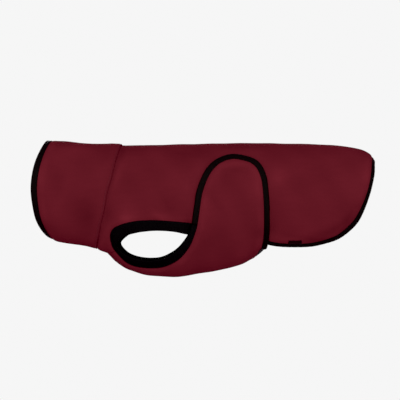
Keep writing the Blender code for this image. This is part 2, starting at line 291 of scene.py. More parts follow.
def reach_along(places, closed=False):
    """Lengths along a line of places, and on to its start again if it is closed."""
    points = form(places)
    return lengths_along(np.vstack([points, points[:1]]) if closed else points)


def shares_along(places):
    """How far along a line of places each one is, from 0 to 1."""
    reach = reach_along(places)
    return reach / reach[-1]


def at_reach(wanted, reach, places):
    """Places at wanted lengths along a line, from the length that each of its places has."""
    return np.stack([np.interp(wanted, reach, places[:, k]) for k in (0, 1)], -1)


def knots_of(table):
    return np.array([(point.x, around_at(point.x, point.z)) for point in table])


knots = knots_of(EDGE)
edge_places = through(knots, knots[1] * (1, -1), knots[-2] * (1, -1) + (0, 2), DENSE)
edge_reach = reach_along(edge_places)
MARKS = {point.name: edge_reach[i * DENSE] for i, point in enumerate(EDGE) if point.name}
print(f"edge line: {edge_reach[-1]:.0f} mm on each side")


def run(first, last, count):
    """Even steps along the edge line from one named point to another, either way."""
    return at_reach(np.linspace(MARKS[first], MARKS[last], count + 1), edge_reach, edge_places)


def off_cloth(places, closed=False):
    """Along a line of places with cloth on its right, the unit vector that leaves the cloth."""
    points = form(places)
    if closed:
        travel = np.roll(points, -1, 0) - np.roll(points, 1, 0)
    else:
        travel = np.gradient(points, axis=0)
    return unit(np.cross(outward(places), travel))


def other_side(places):
    return places * (1, -1)


def carried_over(line):
    """A line on the other side of the coat, turned round so that the cloth is on its right."""
    return other_side(line)[::-1]


# %% [markdown]
# ## How sewn fleece lies
#
# Fleece is thick and springy, so it makes no sharp folds. It swells into a soft roll beside each
# binding, because the tape is stretched as it is sewn, and it carries a few broad troughs where
# it hangs from the shoulder, the wing and the seam. Each one is a row in a table: where it runs
# on the form, how far it bows, how high or deep it is and where along it that is greatest.
# Simulating the cloth would move the edges off their tapes, and these are quick to shape.

# %% The folds
# bow, height and width are in millimetres, and peak is where along the fold it is highest
Fold = namedtuple("Fold", "piece x0 around0 x1 around1 bow height width peak")
def folds_from(tables):
    return [Fold(piece, *row) for piece, rows in tables.items() for row in rows]


SIDE_FOLDS = folds_from({  # on the left side, from the neck to the tail
    "neck": [
        (-281, 0.30, -262, 0.50, 3, 1.1, 15, 0.5),
        (-262, 0.07, -212, 0.08, 2, -0.8, 8, 0.5),
        (-246, 0.23, -199, 0.15, -3, 0.9, 16, 0.5),
        (-250, 0.64, -222, 0.34, 3, 0.6, 8, 0.4),
        (-208, 0.48, -184, 0.78, -3, -1.7, 20, 0.55),
        (-290, 0.83, -236, 0.73, 3, -0.7, 12, 0.5),
        (-167, 0.33, -140, 0.21, 2, 0.7, 11, 0.5),
    ],
    "back": [
        (-137, 0.05, -138, 0.23, 1, -1.5, 8, 0.5),
        (-131, 0.19, -154, 0.43, -3, 1.0, 8, 0.6),
        (-153, 0.52, -168, 0.66, 2, -1.3, 11, 0.4),
        (-134, 0.60, -116, 0.52, -2, 1.7, 14, 0.4),
        (-86, 0.50, -40, 0.575, 2, 1.2, 6, 0.5),
        (-80, 0.38, -48, 0.53, -3, -0.7, 7, 0.6),
        (-64, 0.14, 10, 0.155, 4, -1.0, 16, 0.5),
        (-21, 0.51, -19, 0.61, 1, -1.7, 7, 0.6),
        (-28, 0.43, -4, 0.27, 3, 0.9, 11, 0.4),
        (44, 0.10, 116, 0.09, 3, -1.4, 12, 0.5),
        (121, 0.53, 119, 0.76, -3, -1.4, 9, 0.7),
        (122, 0.42, 160, 0.33, -4, 1.0, 12, 0.3),
        (136, 0.22, 129, 0.44, -2, 0.4, 10, 0.5),
        (140, 0.55, 204, 0.56, 5, -0.5, 13, 0.5),
        (150, 0.73, 216, 0.64, 4, 0.8, 12, 0.6),
        (176, 0.76, 206, 0.76, 1, -1.3, 6, 0.5),
        (180, 0.17, 250, 0.16, 3, -0.6, 17, 0.5),
        (192, 0.79, 258, 0.68, -3, -1.8, 9, 0.6),
        (238, 0.77, 284, 0.56, -5, -1.3, 8, 0.5),
        (264, 0.52, 292, 0.20, 4, 0.7, 12, 0.5),
    ],
    "belly": [
        (22, 0.27, 92, 0.27, 5, 1.1, 7, 0.5),
        (46, 0.305, 74, 0.31, 1, -0.9, 6, 0.5),
        (26, 0.40, 30, 0.27, 2, 1.0, 8, 0.5),
        (3, 0.42, 16, 0.55, 2, 0.8, 12, 0.4),
        (12, 0.43, 46, 0.58, -3, -0.6, 7, 0.4),
        (95, 0.26, 93, 0.52, -3, 1.2, 13, 0.4),
        (34, 0.60, -16, 0.77, -4, -0.7, 16, 0.5),
        (84, 0.65, 112, 0.72, 3, -1.2, 13, 0.6),
        (84, 0.76, 52, 0.87, -3, 0.9, 15, 0.5),
        (-30, 0.80, -52, 0.88, 1, 0.4, 9, 0.5),
    ],
})
MIDDLE_FOLDS = folds_from({  # over the spine and under the throat, chest and belly
    "neck": [
        (-240, 0.88, -236, 1.14, 2, -0.6, 14, 0.5),
        (-204, 0.88, -200, 1.16, -2, -0.6, 13, 0.5),
        (-215, -0.12, -205, 0.08, -3, -0.5, 14, 0.4),
    ],
    "back": [
        (-108, -0.14, -102, 0.10, -3, -0.5, 15, 0.4),
        (-30, -0.10, -24, 0.10, 4, 0.5, 17, 0.6),
        (136, -0.12, 142, 0.14, -3, -0.5, 16, 0.5),
        (232, -0.16, 226, 0.12, 3, 0.5, 17, 0.4),
    ],
    "belly": [
        (-130, 0.92, -126, 1.10, -3, -0.5, 13, 0.5),
        (-70, 0.90, -62, 1.10, 4, -0.2, 16, 0.5),
        (2, 0.90, -4, 1.14, -3, -0.6, 16, 0.5),
        (46, 0.92, 52, 1.10, 3, 0.6, 15, 0.5),
    ],
})


# %% Similar folds on the right side
DRIFT, TURN = 7.0, 0.02  # how far, in x and around, a fold may lie from its left twin


def across(fold, number):
    """A similar fold on the right side: a little moved, and a little stronger or weaker."""
    drift = DRIFT * math.sin(2.4 * number)
    turn = TURN * math.sin(1.3 * number + 1)
    return fold._replace(
        x0=fold.x0 + drift,
        x1=fold.x1 + 0.6 * drift,
        around0=-fold.around0 + turn,
        around1=-fold.around1 - turn,
        bow=-fold.bow,
        height=fold.height * (0.95 + 0.25 * math.cos(1.7 * number)),
    )


right_folds = [across(fold, number) for number, fold in enumerate(SIDE_FOLDS)]
FOLDS = SIDE_FOLDS + right_folds + MIDDLE_FOLDS
print(len(FOLDS), "folds")


# %% How far the folds move the cloth


def nearest(points, line):
    """How far each point is from a line of points, and where along it, from 0 to 1."""
    best = np.full(len(points), np.inf)
    share = np.zeros(len(points))
    reach = lengths_along(line) / lengths_along(line)[-1]
    for i, (a, b) in enumerate(zip(line, line[1:])):
        side = b - a
        s = np.clip((points - a) @ side / (side @ side), 0.0, 1.0)
        distance = np.linalg.norm(points - a - s[:, None] * side, axis=1)
        nearer = distance < best
        best = np.where(nearer, distance, best)
        share = np.where(nearer, reach[i] + (reach[i + 1] - reach[i]) * s, share)
    return best, share


def from_line(points, line):
    """How far each point is from a line or from its mirror image on the other side."""
    return np.minimum(nearest(points, line)[0], nearest(points, line * (1, -1, 1))[0])


def fold_line(fold):
    start, end = np.array([fold.x0, fold.around0]), np.array([fold.x1, fold.around1])
    scale = np.array([1.0, half_girth_at((fold.x0 + fold.x1) / 2)])
    side = unit(np.array([-1, 1]) * ((end - start) * scale)[::-1]) * fold.bow
    t = np.linspace(0, 1, 11)[:, None]
    return form(start + (end - start) * t + side / scale * 4 * t * (1 - t))


WAVE = 0.2  # height of the broad unevenness that no cloth is without
WAVES = [(0.9, 0.4, 0.5, 47, 0.3), (-0.5, 0.8, 0.8, 61, 2.1), (0.7, -0.6, 0.9, 83, 4.4)]


def folds_of(piece, points):
    """How far the folds of one piece move its points out, in millimetres."""
    height = np.zeros(len(points))
    for a, b, c, length, phase in WAVES:
        height += WAVE * np.sin(points @ unit(np.array([a, b, c])) * 2 * np.pi / length + phase)
    for fold in FOLDS:
        if fold.piece == piece:
            away, share = nearest(points, fold_line(fold))
            fade = np.where(share < fold.peak, share / fold.peak, (1 - share) / (1 - fold.peak))
            height += fold.height * bell(away, fold.width) * (0.25 + 0.75 * fade)
    return height


# %% [markdown]
# The wings lie on the back panel, and their folds press it in. So the back panel and its hem
# stay a little below the wing wherever one covers them.

# %% Layers that rest on each other
WING_PRESS = 0.6  # how much closer the wings lie to the back higher up
RESTING_GAP = 0.35
PRESS_LOW, PRESS_HIGH = -135.0, -95.0  # z between which that comes in
HEEL_TUCK = 9.0  # how far the rear edge of the belly curls under, below the hem
TUCK_X, TUCK_Z = (91.0, 110.0), (-174.0, -187.0)  # x and z over which it does
COVERED_FROM, COVERED_TO, COVERED_TOP = -12.0, 112.0, -22.0  # x, x and z of the back under a wing


def wing_folds(points):
    x, z = points[:, 0], points[:, 2]
    tucked = ease(*TUCK_X, x) * ease(*TUCK_Z, z)
    pressed = WING_PRESS * ease(PRESS_LOW, PRESS_HIGH, z)
    return folds_of("belly", points) - pressed - HEEL_TUCK * tucked


def back_folds(points):
    x, z = points[:, 0], points[:, 2]
    past = np.maximum(np.maximum(COVERED_FROM - x, x - COVERED_TO), z - COVERED_TOP)
    free = 6 * ease(6, 26, past)  # a few millimetres past the wing the back may swell again
    limit = wing_folds(points) + WING_LIFT - CLOTH - PROUD - RESTING_GAP + free
    return np.minimum(folds_of("back", points), limit)


# %% [markdown]
# ## Cloth as a wall
#
# Every panel is drawn as a grid of places between its edges, and then given its two faces from
# the form's own normals. A Solidify modifier could do that too, but here the wall changes: the
# fleece is squeezed under each tape and rolls over at an open seam. The grid runs on under the
# tape, as real cloth does.

# %% Grids between four edges
FINER = 5  # cells here for each cell of the solid
STEPS = {
    ("tail", "rump"): 11,
    ("rump", "band_hidden_end"): 16,
    ("band_hidden_end", "leg_top"): 9,
    ("leg_top", "leg_corner"): 4,
    ("leg_corner", "leg_front"): 2,
    ("leg_front", "chest"): 3,
    ("chest", "leg_bottom"): 5,
    ("leg_bottom", "wing_foot"): 7,
    ("wing_foot", "band_top"): 3,
    ("band_top", "wing_front"): 7,
    ("wing_front", "wing_rear"): 8,
    ("wing_rear", "wing_heel"): 10,
    ("wing_heel", "belly"): 6,
}


def joined_run(first, last):
    """The edge line between two named points, with each stretch in its own even steps."""
    backwards = MARKS[first] > MARKS[last]
    low, high = (last, first) if backwards else (first, last)
    stretches = [
        run(a, b, count * FINER)
        for (a, b), count in STEPS.items()
        if MARKS[low] <= MARKS[a] < MARKS[high]
    ]
    line = np.vstack([stretches[0][:1]] + [stretch[1:] for stretch in stretches])
    return line[::-1] if backwards else line


def straight(start, end, shares):
    """Places from start to end; shares is how many steps, or the share at each."""
    if np.isscalar(shares):
        shares = np.linspace(0, 1, shares + 1)
    start, end = np.asarray(start, float), np.asarray(end, float)
    return start + (end - start) * np.asarray(shares)[:, None]


def fill(top, bottom, left, right):
    """Rows of places between four lines that meet at their ends."""
    u, v = shares_along(top)[None, :, None], shares_along(left)[:, None, None]
    corners = (1 - v) * ((1 - u) * top[0] + u * top[-1]) + v * (
        (1 - u) * bottom[0] + u * bottom[-1]
    )
    grid = (1 - v) * top + v * bottom + (1 - u) * left[:, None] + u * right[:, None] - corners
    grid[0], grid[-1], grid[:, 0], grid[:, -1] = top, bottom, left, right
    return grid


UNDER_TAPE = (0.0, 0.8, 2.4, 4.2, 6.0)  # how far the cloth goes on under its tape


def under_tape(line):
    """The strip of cloth that the tape holds, along a run of the edge line."""
    off = off_cloth(line)
    rows = np.stack([slide(line, off * reach) for reach in UNDER_TAPE])
    rows[0] = line
    return rows[:, ::-1]


# %% From grids to a closed wall


def placed(name, data):
    """A new object in the scene that shows a mesh or a lamp."""
    made = bpy.data.objects.new(name, data)
    bpy.context.collection.objects.link(made)
    return made


def closed_piece(name, points, faces, cut, nap_and_painted_shade=None):
    """A new object from points and quads; its faces are turned out if they point in.

    cut holds each corner's place on the flat cloth, and becomes the UV map, at real size.
    nap is the painted shade and light at each point, from the height of its folds: darker in the
    troughs, lighter on the crests."""
    a, b, c, d = (points[faces[:, k]] for k in range(4))
    volume = (dot(a, np.cross(b, c)) + dot(a, np.cross(c, d))).sum() / 6
    if volume < 0:
        faces, cut = faces[:, ::-1], cut[:, ::-1]
    mesh = bpy.data.meshes.new(name)
    mesh.from_pydata((points * MM).tolist(), [], faces.tolist())
    mesh.uv_layers.new(name="cut").data.foreach_set("uv", (cut * MM).ravel())
    if nap_and_painted_shade is not None:
        mesh.attributes.new("nap_and_painted_shade", "FLOAT", "POINT").data.foreach_set("value", nap_and_painted_shade)
    mesh.shade_smooth()
    print(f"{name}: {len(faces)} faces, {abs(volume) / 1000:.0f} cm3 of cloth")
    return placed(name, mesh)


# %% Joining the two halves of a piece


def grid_cells(grids):
    """Quads of corner numbers, for grids whose corners are listed one after another."""
    cells, start = [], 0
    for grid in grids:
        rows, columns = grid.shape[:2]
        number = start + np.arange(rows * columns).reshape(rows, columns)
        quads = (number[:-1, :-1], number[:-1, 1:], number[1:, 1:], number[1:, :-1])
        cells.append(np.stack(quads, -1).reshape(-1, 4))
        start += number.size
    return np.concatenate(cells)


def joined_corners(corners):
    """Which corners to keep where several share a place, and the kept one that each becomes.

    Places share it when they round to the same hundredth in x and 20000th of the half girth."""
    keys = np.round(corners * (100, 20000)).astype(int)
    keys[:, 1] = np.where(keys[:, 1] == -20000, 20000, keys[:, 1])  # both sides meet on the belly
    _, first, joined = np.unique(keys, axis=0, return_index=True, return_inverse=True)
    return first, joined.ravel()


def cloth_wall(name, panels, strip, heights):
    """Both faces and the rim of a piece, from the grids of its left half.

    strip is the cloth under the tape. heights(places, points, held) gives the inner and the outer
    face, and the fold height that sets the painted shade and light."""
    grids = panels + [strip]
    rows = [np.zeros(grid.shape[:2]) for grid in panels] + [np.ones(strip.shape[:2])]
    rows[-1][0] = 0
    held = np.concatenate([row.ravel() for row in rows + rows]) > 0
    grids += [other_side(grid)[:, ::-1] for grid in grids]
    corners = np.concatenate([grid.reshape(-1, 2) for grid in grids])
    cells = grid_cells(grids)
    first, joined = joined_corners(corners)
    places = corners[first]
    points, normals = form(places), outward(places)
    inner, outer, painted_shade_height = heights(places, points, held[first])
    count = len(places)
    walls = np.vstack([points + normals * outer[:, None], points + normals * inner[:, None]])
    faces = joined[cells]
    cut = np.stack([corners[:, 0], corners[:, 1] * half_girth_at(corners[:, 0])], -1)[cells]
    a, b = faces.ravel(), np.roll(faces, -1, 1).ravel()
    open_edge = ~np.isin(a * count + b, b * count + a)
    rim = np.stack([b, a, a + count, b + count], -1)[open_edge]
    cut_a, cut_b = cut.reshape(-1, 2), np.roll(cut, -1, 1).reshape(-1, 2)
    rim_cut = np.stack([cut_b, cut_a, cut_a, cut_b], 1)[open_edge]
    return closed_piece(
        name,
        walls,
        np.vstack([faces, faces[:, ::-1] + count, rim]),
        np.concatenate([cut, cut[:, ::-1], rim_cut]),
        np.r_[painted_shade_height, -painted_shade_height],
    )


# %% Swelling beside a tape, and rolling over at a seam
SQUEEZE = 2.2  # how far from the tape the cloth is squeezed
TAPE_GRIP = 1.5  # thickness of the cloth inside the tape
ROLL_AWAY, ROLL_WIDTH = 7.5, 5.0
ROLL = 0.8  # height of the roll beside a tape
UNEVEN = np.array([0.11, 0.05, 0.16])  # how quickly that height changes in x, y and z


def beside_tape(points, line, held):
    """How far a tape along a line lifts the cloth beside it, and how far it squeezes each face."""
    away = from_line(points, line) * ~held
    uneven = 0.7 + 0.3 * np.sin(points @ UNEVEN + 1.0)
    roll = ROLL * uneven * bell(away - ROLL_AWAY, ROLL_WIDTH) * ease(0, 4, away)
    return roll, (CLOTH - TAPE_GRIP) / 2 * bell(away, SQUEEZE)


def round_over(away, radius):
    """How far a face has dropped at a distance from the edge that it rolls over."""
    return radius - np.sqrt(radius**2 - np.clip(radius - away, 0, radius) ** 2)


# %% [markdown]
# ## The neck
#
# The neck is one tube. Its front edge is bound, and its rear edge is turned under and stitched
# down over the body, so it ends in a soft round step. More columns run close to that step, to
# make it round.

# %% Lines of the neck
NECK_EDGE_TOP, NECK_EDGE_THROAT = -271.4, -268.0
NECK_EDGE_BULGE = 22.0
BULGE_POWER, POWER_FALL, THROAT_ROUND = 2.25, 1.15, 0.75  # fuller below, and round at the throat
Stray = namedtuple("Stray", "around reach width")  # where the edge lies off its even curve
NECK_STRAYS = [Stray(0.0, -0.5, 0.2), Stray(0.36, 1.5, 0.13), Stray(0.72, -1.0, 0.09)]
NECK_TAPE_SWELL = 1.9
NECK_SEAM_TOP, NECK_SEAM_THROAT, NECK_SEAM_POWER = -138.0, -180.5, 0.85
SEAM_WANDER = 0.9  # how far the seam strays on the flanks


def neck_edge(around):
    """Where the finished edge of the neck lies."""
    power = BULGE_POWER - POWER_FALL * around + THROAT_ROUND * ease(0.78, 1.0, around)
    top = NECK_EDGE_TOP + (NECK_EDGE_THROAT - NECK_EDGE_TOP) * around
    strays = sum(s.reach * bell(around - s.around, s.width) for s in NECK_STRAYS)
    return top - NECK_EDGE_BULGE * np.abs(np.sin(np.pi * around)) ** power + strays


def neck_seam(around):
    share = (0.5 - 0.5 * np.cos(np.pi * around)) ** NECK_SEAM_POWER
    wander = SEAM_WANDER * np.sin(np.pi * around) ** 2 * (1 - 0.6 * np.cos(9 * np.pi * around))
    return NECK_SEAM_TOP + (NECK_SEAM_THROAT - NECK_SEAM_TOP) * share + wander


def neck_tape_width(around):
    """The tape's edge strays from the cloth's: it shows a little wider on the flanks."""
    return NECK_TAPE + NECK_TAPE_SWELL * np.sin(np.pi * around) ** 2


# %% The neck's cloth
NECK_ROWS = 100
NECK_PRESS, PRESS_REACH = 0.6, 12.0  # the seam draws the neck down onto the body
HEM_ROUND, HEM_DROP = 4.2, 2.3  # the turned edge rolls over this far in, and drops this much
NECK_STITCH = 3.2  # distance of the stitches from the seam's edge
STITCH_DENT, DENT_WIDTH = 0.5, 0.8
NECK_CLOSE, CLOSE_REACH = 0.36, 4.0  # they pull the hem's inner face down onto the body
HEM_PAINTED_SHADE = 1.2  # painted shade: how much darker the fleece is painted along the hem, in millimetres of fold height
THROAT_SOFT = 0.75  # share of the step that is gone at the throat, where the hem lies flat
# The last columns lie about this far from the seam, on cloth that is about this long there.
NECK_LONG = 120
NEAR_SEAM = (5.5, 4.4, 3.6, 3.2, 2.8, 2.1, 1.4, 0.9, 0.5, 0.2, 0.0)
rows = np.linspace(0, 1, NECK_ROWS + 1)[::-1]  # up from the throat
neck_line = np.stack([neck_edge(rows) + neck_tape_width(rows), rows], -1)
seam_line = np.stack([neck_seam(rows), rows], -1)
neck_shares = np.r_[np.linspace(0, 0.94, 42), 1 - np.array(NEAR_SEAM) / NECK_LONG]
neck_grid = np.stack([straight(a, b, neck_shares) for a, b in zip(neck_line, seam_line)])[::-1]


def neck_folds(points):
    return folds_of("neck", points)


def neck_heights(places, points, held):
    roll, grip = beside_tape(points, form(neck_line), held)
    away = from_line(points, form(seam_line))
    near, at_hem = bell(away, PRESS_REACH), bell(away, CLOSE_REACH)
    folded = neck_folds(points) * (1 - near) + roll
    middle = NECK_LIFT + folded - NECK_PRESS * near
    dent = STITCH_DENT * bell(away - NECK_STITCH, DENT_WIDTH)
    step = 1 - THROAT_SOFT * ease(0.6, 0.93, np.abs(places[:, 1]))
    drop = round_over(away, HEM_ROUND) * HEM_DROP / HEM_ROUND * step
    outer = middle + CLOTH - grip - drop - dent
    # the third value sets the painted shade: from the folds, and darker along the hem
    return middle + grip - NECK_CLOSE * at_hem, outer, folded - HEM_PAINTED_SHADE * at_hem


neck = cloth_wall("neck", [neck_grid], under_tape(neck_line), neck_heights)

# %% [markdown]
# ## The back panel and its yoke
#
# The back and the ring round the chest are cut in one. The front of the ring goes under the neck,
# the sides are bound along the hem and the top of the leg openings, and a short seam joins it to
# the chest. Its edges meet the chest's in a shallow groove, because both roll over into the seam.

# %% The seam across the chest
CHEST_SEAM_BELLY = -163.0
YOKE_SPINE = -126.0
CHEST_ROWS = STEPS["wing_heel", "belly"] * FINER
CHEST_ROUND, CHEST_GROOVE = 1.0, 0.15
chest_x, chest_around = run("chest", "belly", 1)[0]
seam_share = np.linspace(0, 1, CHEST_ROWS + 1)
chest_seam = np.stack(
    [
        chest_x + (CHEST_SEAM_BELLY - chest_x) * np.sin(np.pi / 2 * seam_share),
        chest_around + (1 - chest_around) * seam_share,
    ],
    -1,
)

# %% The back panel's cloth
hem_run = joined_run("leg_front", "rump")
tail_run = joined_run("tail", "rump")
to_leg = straight((YOKE_SPINE, 0.0), hem_run[0], len(tail_run) - 1)
seam_front = chest_seam - (SEAM_GAP / 2, 0)
leg_side = joined_run("leg_front", "chest")
yoke_rear = np.vstack([to_leg, leg_side[1:-1], seam_front])
yoke_shares = np.r_[np.linspace(0, 0.75, 9), 0.82, 0.88, 0.925, 0.955, 0.975, 0.99, 1.0]
yoke = np.stack(
    [straight((neck_seam(a) - NECK_LAP, a), (x, a), yoke_shares) for x, a in yoke_rear]
)
spine = straight(to_leg[0], tail_run[0], len(hem_run) - 1)
back_grid = fill(spine, hem_run, to_leg, tail_run)


def seam_roll(points):
    """How far a face drops where it rolls into the chest seam."""
    away = from_line(points, form(chest_seam))
    return round_over(away, CHEST_ROUND) + CHEST_GROOVE * bell(away, 4.0)


back_edge = form(run("tail", "chest", 260))
THROAT_PUFF, PUFF_AT, PUFF_WIDTH = 1.9, 3.0, 4.5  # the body swells up behind the neck's hem
YOKE_PAINTED_SHADE, YOKE_SHADE_REACH = 1.1, 5.0  # the fleece is painted darker there: painted shade along the neck's seam


def back_heights(places, points, held):
    roll, grip = beside_tape(points, back_edge, held)
    around = np.abs(places[:, 1])
    from_neck = points[:, 0] - neck_seam(around)
    puff = THROAT_PUFF * bell(from_neck - PUFF_AT, PUFF_WIDTH) * ease(0.0, 1.5, from_neck)
    middle = (back_folds(points) + roll) * ease(-2, 8, from_neck) + puff * ease(0.7, 0.95, around)
    # painted shade: the fleece's colour is darker along the neck's seam
    painted_shade = middle - YOKE_PAINTED_SHADE * bell(from_neck, YOKE_SHADE_REACH)
    return middle + grip, middle + CLOTH - grip - seam_roll(points), painted_shade


back = cloth_wall(
    "back", [yoke, back_grid], under_tape(joined_run("tail", "chest")), back_heights
)

# %% [markdown]
# ## The chest and belly panel with its wings
#
# This piece starts at the chest seam, fills the space between the leg openings, and spreads into
# two wings that wrap up over the flanks and lie on the back panel.

# %% The belly panel's cloth
foot = joined_run("chest", "wing_foot")
seam_rear = chest_seam + (SEAM_GAP / 2, 0)
foot[0] = seam_rear[0]
foot = np.vstack([straight(foot[0], foot[1], [0, 0.12, 0.3, 0.55]), foot[1:]])
heel_run = joined_run("wing_rear", "wing_heel")
wing_base = straight(foot[-1], heel_run[-1], STEPS["wing_front", "wing_rear"] * FINER)
chest_top = np.vstack([foot, wing_base[1:]])
belly_end = run("belly", "belly", 1)[0]
chest_grid = fill(
    chest_top,
    straight(seam_rear[-1], belly_end, shares_along(chest_top)),
    seam_rear,
    joined_run("wing_heel", "belly"),
)
wing_grid = fill(
    joined_run("wing_front", "wing_rear"),
    wing_base,
    joined_run("wing_front", "wing_foot"),
    heel_run,
)
belly_edge = form(run("chest", "belly", 300))


def belly_lift(x):
    return WING_LIFT * ease(LIFT_STARTS, LIFT_ENDS, x)


def belly_heights(places, points, held):
    roll, grip = beside_tape(points, belly_edge, held)
    middle = belly_lift(points[:, 0]) + wing_folds(points) + roll
    # the fold height that sets the painted shade and light
    painted_shade_height = folds_of("belly", points) + roll
    return middle + grip, middle + CLOTH - grip - seam_roll(points), painted_shade_height


belly = cloth_wall(
    "belly_and_wings",
    [chest_grid, wing_grid],
    under_tape(joined_run("chest", "belly")),
    belly_heights,
)

# %% [markdown]
# ## Folded tape
#
# The binding is elastic tape, folded lengthwise round the cloth's edge and stitched through. Its
# section is a narrow U. The table gives that U from the fold to the lip that lies on the cloth,
# for its outer side and its inner side, and the lower half is the same turned over. Sweeping the
# section along the edge line keeps it square to the cloth all the way.

# %% The tape's section
# A point is measured either from the fold or from the lip. Heights are above the cloth's middle.
TapePoint = namedtuple("TapePoint", "from_fold from_lip outer inner_from_fold inner")
TAPE_HALF = [TapePoint(*row) for row in [
    (0.0, None, 0.0, 1.0, 0.0),
    (0.15, None, 0.55, 1.05, 0.25),
    (0.55, None, 1.10, 1.2, 0.5),
    (1.2, None, 1.48, 1.7, 0.7),
    (2.4, None, 1.68, 2.6, 0.8),
    (None, 4.2, 1.72, None, 0.82),
    (None, 3.0, 1.62, None, 0.82),
    (None, 2.2, 1.36, None, 0.80),
    (None, 1.4, 1.60, None, 0.80),
    (None, 0.6, 1.62, None, 0.80),
    (None, 0.0, 1.45, None, 0.82),
    (None, -0.25, 1.15, None, 0.84),
]]
STITCH_ACROSS, STITCH_HEIGHT = 2.2, 1.36  # the stitches lie in the dent that they pull


def folded_section(widths, swell):
    """Points (across, height) of the U for each width, outer side first, then inner side.

    swell is added to the outer faces, one value for each place, and fades at the fold."""
    outer, inner = [], []
    for row in TAPE_HALF:
        across = widths - row.from_fold if row.from_lip is None else row.from_lip + 0 * widths
        within = widths - row.inner_from_fold if row.from_lip is None else across + 0.1
        free = min(1.0, row.outer / 1.5) if row.from_lip is None else 1.0
        outer.append(np.stack([across, row.outer + swell * free], -1))
        inner.append(np.stack([within, row.inner + 0 * widths], -1))
    halves = np.stack(outer, 1), np.stack(inner, 1)
    outer, inner = (np.concatenate([(half * (1, -1))[:, :0:-1], half], 1) for half in halves)
    section = np.concatenate([outer, inner[:, ::-1]], 1)
    section[..., 1] += CLOTH / 2
    return section


# %% The faces of a swept tape


def long_faces(number, along, around, closed):
    """Quads from each ring of a tape to the next, and each corner's place on the flat tape."""
    before, after = (number, np.roll(number, -1, 0)) if closed else (number[:-1], number[1:])
    quads = np.stack([before, np.roll(before, -1, 1), np.roll(after, -1, 1), after], -1)
    i, k = np.divmod(np.arange(before.size), number.shape[1])
    corners = [(along[i + di], around[k + dk]) for di, dk in ((0, 0), (0, 1), (1, 1), (1, 0))]
    return quads.reshape(-1, 4), np.stack([np.stack(corner, -1) for corner in corners], 1)


def end_face(ring, section, way):
    """Quads that close one end of a tape, whose second half runs back inside the first."""
    k = np.arange(len(ring) // 2 - 1)
    cap = np.stack([ring[k], ring[k + 1], ring[-2 - k], ring[-1 - k]], -1)[:, ::way]
    return cap, section[cap - ring[0]]


# %% Sweeping a section along a line of places


def sweep(name, places, section, lift, folds, closed=False, onto_cloth=False, fold_edge=None):
    """A tape from its section at each place, an array of shape (places, points, 2).

    It runs square to the line of places, or straight towards its fold_edge if one is given."""
    off = off_cloth(places, closed) * (-1 if onto_cloth else 1)
    if fold_edge is not None:
        off = unit(form(fold_edge) - form(places))
    spread = slide(
        np.repeat(places[:, None], section.shape[1], 1), off[:, None] * section[..., :1]
    )
    points = form(spread)
    rise = lift(spread[..., 0]) + folds(points.reshape(-1, 3)).reshape(points.shape[:2])
    points = points + outward(spread) * (rise + section[..., 1])[..., None]
    number = np.arange(rise.size).reshape(rise.shape)
    around = lengths_along(section[0])
    around = np.r_[around, around[-1] + 1.0]
    parts = [long_faces(number, reach_along(places, closed), around, closed)]
    if not closed:
        parts += [end_face(number[end], section[0], way) for end, way in ((0, -1), (-1, 1))]
    faces, cuts = (np.concatenate(half) for half in zip(*parts))
    return closed_piece(name, points.reshape(-1, 3), faces, cuts)


def across_middle(line):
    """A left-side line from the spine or to the belly, carried on over the right side."""
    if abs(line[0, 1]) < 1e-9:
        return np.vstack([other_side(line)[:0:-1], line])
    return np.vstack([line, other_side(line)[-2::-1]])


# %% How wide each tape shows
TrimWidth = namedtuple("TrimWidth", "name width")
HEM_WIDTHS = [TrimWidth(*row) for row in [
    ("tail", 9.0),
    ("tail_side", 7.5),
    ("rump", 10.6),
    ("flank", 9.0),
    ("band_hidden_end", 10.4),
]]
WING_WIDTHS = [TrimWidth(*row) for row in [
    ("band_top", WING_TAPE),
    ("wing_front", 10.8),
    ("wing_rear", 10.7),
    ("wing_side", 9.5),
    ("wing_heel", WING_TAPE),
    ("belly", 9.0),
]]


def width_at(reach, table):
    """The width of a trim along the edge line, eased from each row of its table to the next."""
    width = np.full(len(reach), float(table[-1].width))
    for a, b in reversed(list(zip(table, table[1:]))):
        share = ease(MARKS[a.name], MARKS[b.name], reach)
        width = np.where(reach <= MARKS[b.name], a.width + (b.width - a.width) * share, width)
    return width


GATHER, GATHER_LENGTH = 0.12, 9.0  # the sewn tape puffs a little between its stitches


def binding(name, places, widths, lift, folds, closed=False):
    """A folded tape that puffs and strays a little along its way."""
    reach = reach_along(places)
    puffs = GATHER * np.sin(reach * 2 * np.pi / GATHER_LENGTH + 2 * np.sin(reach / 31))
    stray = 0.15 * np.sin(reach / 17) + 0.1 * np.sin(reach / 7.3)
    return sweep(name, places, folded_section(widths + stray, puffs), lift, folds, closed)


def both_sides(table, count):
    """Widths along a line that crosses the middle, from the left half's table."""
    first, last = MARKS[table[0].name], MARKS[table[-1].name]
    half = width_at(np.linspace(first, last, count // 2 + 1), table)
    return np.r_[half[:0:-1], half] if table[0].name == "tail" else np.r_[half, half[-2::-1]]


# %% Runs of tape along the edge line
TAPE_STEP = 2.5


def edge_run(first, last, step=TAPE_STEP):
    return run(first, last, round(abs(MARKS[last] - MARKS[first]) / step))


def trimmed(line, start=True, end=True):
    """The line with its ends drawn back by half a seam gap."""
    reach = reach_along(line)
    low, high = SEAM_GAP / 2 * start, reach[-1] - SEAM_GAP / 2 * end
    return at_reach(np.r_[low, reach[1:-1], high], reach, line)


# %% The three bindings


def no_lift(x):
    return 0 * x


def neck_lift(x):
    return NECK_LIFT + 0 * x


